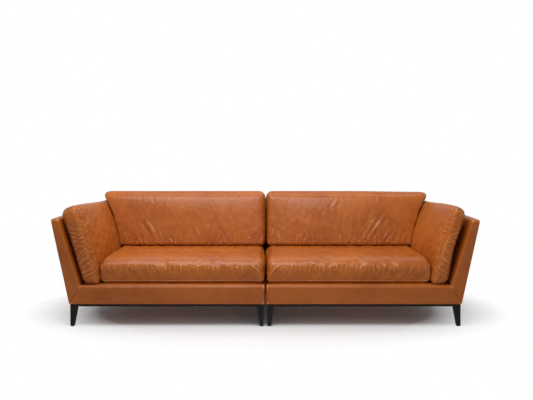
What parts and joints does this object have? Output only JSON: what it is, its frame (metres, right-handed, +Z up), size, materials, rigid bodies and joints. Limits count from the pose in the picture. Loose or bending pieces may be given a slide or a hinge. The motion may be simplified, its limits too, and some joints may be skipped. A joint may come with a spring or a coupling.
{
  "type": "sofa",
  "caption": "Sectional leather sofa with flared arms, loose seat, back and arm cushions, and short tapered wooden legs.",
  "frame": {"origin": "on the floor, in the middle of the sofa's width and depth", "axes": "+X to the right of someone facing the sofa, +Y towards its back, +Z up"},
  "size_m": [2.86, 0.95, 0.84],
  "materials": {
    "cushion_leather": "smooth, soft, creased pull-up leather in cognac tan",
    "frame_leather": "smooth cognac tan leather pulled tight over padding",
    "black_wood": "black stained, satin lacquer",
    "frame_timber": "raw planed pine",
    "shell_padding": "open-cell foam padding",
    "deck_felt": "dark needled felt",
    "cushion_fill": "foam core in a white fibre wrap",
    "dust_cloth": "thin black non-woven cloth",
    "elastic_webbing": "woven elastic webbing",
    "spring_steel": "oiled spring wire and pressed clips",
    "bolt_steel": "zinc plated",
    "coupling_steel": "turned, zinc plated",
    "glide_plastic": "hard black plastic"
  },
  "bodies": {
    "left_half": {"left_arm_cover": "frame_leather", "left_arm_frame": "frame_timber", "left_arm_pad": "shell_padding", "left_back_cover": "frame_leather", "left_back_frame": "frame_timber", "left_back_pad": "shell_padding", "left_back_straps": "elastic_webbing", "left_base_cover": "frame_leather", "left_base_pad": "shell_padding", "left_coupling_pins": "coupling_steel", "left_cross_rail": "frame_timber", "left_deck_pad": "deck_felt", "left_dust_cover": "dust_cloth", "left_front_inner_leg": "black_wood", "left_front_outer_leg": "black_wood", "left_front_rail": "frame_timber", "left_glides": "glide_plastic", "left_leg_bolts": "bolt_steel", "left_plinth": "black_wood", "left_rear_inner_leg": "black_wood", "left_rear_outer_leg": "black_wood", "left_rear_rail": "frame_timber", "left_side_rails": "frame_timber", "left_springs": "spring_steel"},
    "left_seat_cushion": {"left_seat_cushion_cover": "cushion_leather", "left_seat_cushion_fill": "cushion_fill"},
    "left_back_cushion": {"left_back_cushion_cover": "cushion_leather", "left_back_cushion_fill": "cushion_fill"},
    "left_arm_cushion": {"left_arm_cushion_cover": "cushion_leather", "left_arm_cushion_fill": "cushion_fill"},
    "right_half": {"right_arm_cover": "frame_leather", "right_arm_frame": "frame_timber", "right_arm_pad": "shell_padding", "right_back_cover": "frame_leather", "right_back_frame": "frame_timber", "right_back_pad": "shell_padding", "right_back_straps": "elastic_webbing", "right_base_cover": "frame_leather", "right_base_pad": "shell_padding", "right_coupling_bushes": "coupling_steel", "right_cross_rail": "frame_timber", "right_deck_pad": "deck_felt", "right_dust_cover": "dust_cloth", "right_front_inner_leg": "black_wood", "right_front_outer_leg": "black_wood", "right_front_rail": "frame_timber", "right_glides": "glide_plastic", "right_leg_bolts": "bolt_steel", "right_plinth": "black_wood", "right_rear_inner_leg": "black_wood", "right_rear_outer_leg": "black_wood", "right_rear_rail": "frame_timber", "right_side_rails": "frame_timber", "right_springs": "spring_steel"},
    "right_seat_cushion": {"right_seat_cushion_cover": "cushion_leather", "right_seat_cushion_fill": "cushion_fill"},
    "right_back_cushion": {"right_back_cushion_cover": "cushion_leather", "right_back_cushion_fill": "cushion_fill"},
    "right_arm_cushion": {"right_arm_cushion_cover": "cushion_leather", "right_arm_cushion_fill": "cushion_fill"}
  },
  "joints": [
    {"name": "halves_part", "type": "slide", "parent": "left_half", "child": "right_half", "axis": [1, 0, 0], "range_m": [0, 0.3]},
    {"name": "left_seat_cushion_slide", "type": "slide", "parent": "left_half", "child": "left_seat_cushion", "axis": [0, -1, 0], "range_m": [0, 0.8]},
    {"name": "left_back_cushion_lift", "type": "slide", "parent": "left_half", "child": "left_back_cushion", "axis": [0, 0, 1], "range_m": [0, 0.45]},
    {"name": "left_arm_cushion_lift", "type": "slide", "parent": "left_half", "child": "left_arm_cushion", "axis": [-0.306, 0, 0.952], "range_m": [0, 0.5]},
    {"name": "right_seat_cushion_slide", "type": "slide", "parent": "right_half", "child": "right_seat_cushion", "axis": [0, -1, 0], "range_m": [0, 0.8]},
    {"name": "right_back_cushion_lift", "type": "slide", "parent": "right_half", "child": "right_back_cushion", "axis": [0, 0, 1], "range_m": [0, 0.45]},
    {"name": "right_arm_cushion_lift", "type": "slide", "parent": "right_half", "child": "right_arm_cushion", "axis": [0.306, 0, 0.952], "range_m": [0, 0.5]}
  ]
}
